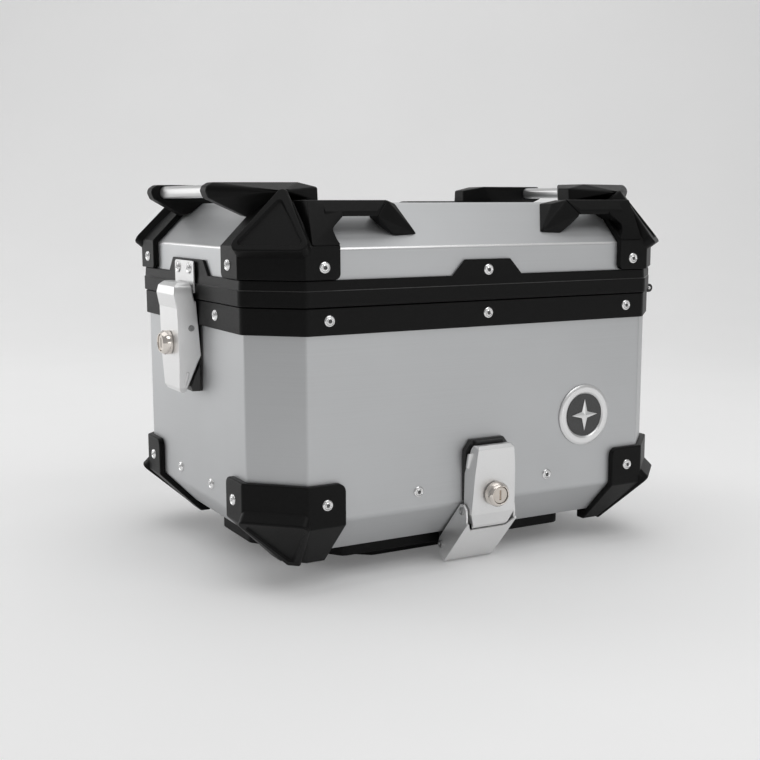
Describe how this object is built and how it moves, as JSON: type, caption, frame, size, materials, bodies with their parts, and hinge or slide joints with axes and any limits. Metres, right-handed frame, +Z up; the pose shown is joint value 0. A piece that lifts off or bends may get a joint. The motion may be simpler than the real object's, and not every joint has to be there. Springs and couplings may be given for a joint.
{
  "type": "motorcycle top case",
  "caption": "Aluminium motorcycle top case with chamfered corners, side-hinged lid, luggage rails, carrying arms, keyed draw latches and a mounting plate.",
  "frame": {"origin": "centre of the plate spacer's flat underside", "axes": "+Z up; the base latch and badge face -Y, the lid latch faces -X, the lid's hinge is on +X"},
  "size_m": [0.4672, 0.3591, 0.338],
  "materials": {
    "sheet_aluminium": "satin brushed anodised sheet",
    "rail_aluminium": "satin anodised tube",
    "black_plastic": "fine moulded grain",
    "plate_plastic": "moulded, coarse grain",
    "black_rubber": "matt",
    "badge_black": "gloss",
    "cast_silver": "silver paint on die casting",
    "black_steel": "black coated steel",
    "bright_steel": "bright zinc",
    "nickel": "warm nickel plate"
  },
  "bodies": {
    "mount": {"mounting_plate": "plate_plastic", "plate_bolt_bl": "bright_steel", "plate_bolt_br": "bright_steel", "plate_bolt_fl": "bright_steel", "plate_bolt_fr": "bright_steel", "plate_spacer": "plate_plastic"},
    "case": {"badge_disc": "badge_black", "badge_ring": "cast_silver", "badge_star": "cast_silver", "base_corner_bl": "black_plastic", "base_corner_br": "black_plastic", "base_corner_fl": "black_plastic", "base_corner_fr": "black_plastic", "base_latch_bracket": "black_steel", "base_latch_lugs": "black_steel", "base_link_pin": "bright_steel", "base_rivet_bl_end": "bright_steel", "base_rivet_bl_side": "bright_steel", "base_rivet_br_end": "bright_steel", "base_rivet_br_side": "bright_steel", "base_rivet_fl_end": "bright_steel", "base_rivet_fl_side": "bright_steel", "base_rivet_fr_end": "bright_steel", "base_rivet_fr_side": "bright_steel", "box_rim": "black_plastic", "box_shell": "sheet_aluminium", "floor_mat": "black_rubber", "hinge_leaf_box": "black_steel", "hinge_pin": "bright_steel", "lid_latch_bracket": "black_steel", "lid_link_pin": "bright_steel", "rim_gasket": "black_rubber"},
    "lid": {"catch_plate": "bright_steel", "hinge_leaf_lid": "black_steel", "lid_corner_bl": "black_plastic", "lid_corner_br": "black_plastic", "lid_corner_fl": "black_plastic", "lid_corner_fr": "black_plastic", "lid_rim": "black_plastic", "lid_rivet_bl_end": "bright_steel", "lid_rivet_bl_side": "bright_steel", "lid_rivet_br_end": "bright_steel", "lid_rivet_br_side": "bright_steel", "lid_rivet_fl_end": "bright_steel", "lid_rivet_fl_side": "bright_steel", "lid_rivet_fr_end": "bright_steel", "lid_rivet_fr_side": "bright_steel", "lid_shell": "sheet_aluminium", "rail_left": "rail_aluminium", "rail_right": "rail_aluminium"},
    "base_link": {"base_cover_pin": "bright_steel", "base_latch_link": "cast_silver"},
    "base_cover": {"base_latch_cover": "cast_silver", "base_lock_barrel": "nickel"},
    "base_plug": {"base_lock_plug": "nickel"},
    "lid_link": {"lid_cover_pin": "bright_steel", "lid_latch_link": "black_steel"},
    "lid_cover": {"lid_latch_cover": "cast_silver", "lid_lock_barrel": "nickel"},
    "lid_plug": {"lid_lock_plug": "nickel"}
  },
  "joints": [
    {"name": "case_lift", "type": "slide", "parent": "mount", "child": "case", "axis": [0, 0, 1], "range_m": [0, 0.06]},
    {"name": "lid_hinge", "type": "hinge", "parent": "case", "child": "lid", "pos_m": [0.219, 0, 0.2377], "axis": [0, 1, 0], "range_deg": [0, 95]},
    {"name": "base_link_pivot", "type": "hinge", "parent": "case", "child": "base_link", "pos_m": [0, -0.1295, 0.016], "axis": [1, 0, 0], "range_deg": [0, 40]},
    {"name": "base_cover_pivot", "type": "hinge", "parent": "base_link", "child": "base_cover", "pos_m": [0, -0.164, 0.0545], "axis": [1, 0, 0], "range_deg": [0, 35]},
    {"name": "base_key_turn", "type": "hinge", "parent": "base_cover", "child": "base_plug", "pos_m": [0, -0.175, 0.07], "axis": [0, -1, 0], "range_deg": [0, 90]},
    {"name": "lid_link_pivot", "type": "hinge", "parent": "case", "child": "lid_link", "pos_m": [-0.2184, 0, 0.233], "axis": [0, 1, 0], "range_deg": [0, 90]},
    {"name": "lid_cover_pivot", "type": "hinge", "parent": "lid_link", "child": "lid_cover", "pos_m": [-0.2195, 0, 0.2124], "axis": [0, -1, 0], "range_deg": [0, 58.5]},
    {"name": "lid_key_turn", "type": "hinge", "parent": "lid_cover", "child": "lid_plug", "pos_m": [-0.232, 0, 0.1985], "axis": [-1, 0, 0], "range_deg": [0, 90]}
  ],
  "couplings": [
    {"joint": "lid_cover_pivot", "follows": "lid_link_pivot", "ratio": 0.65}
  ]
}
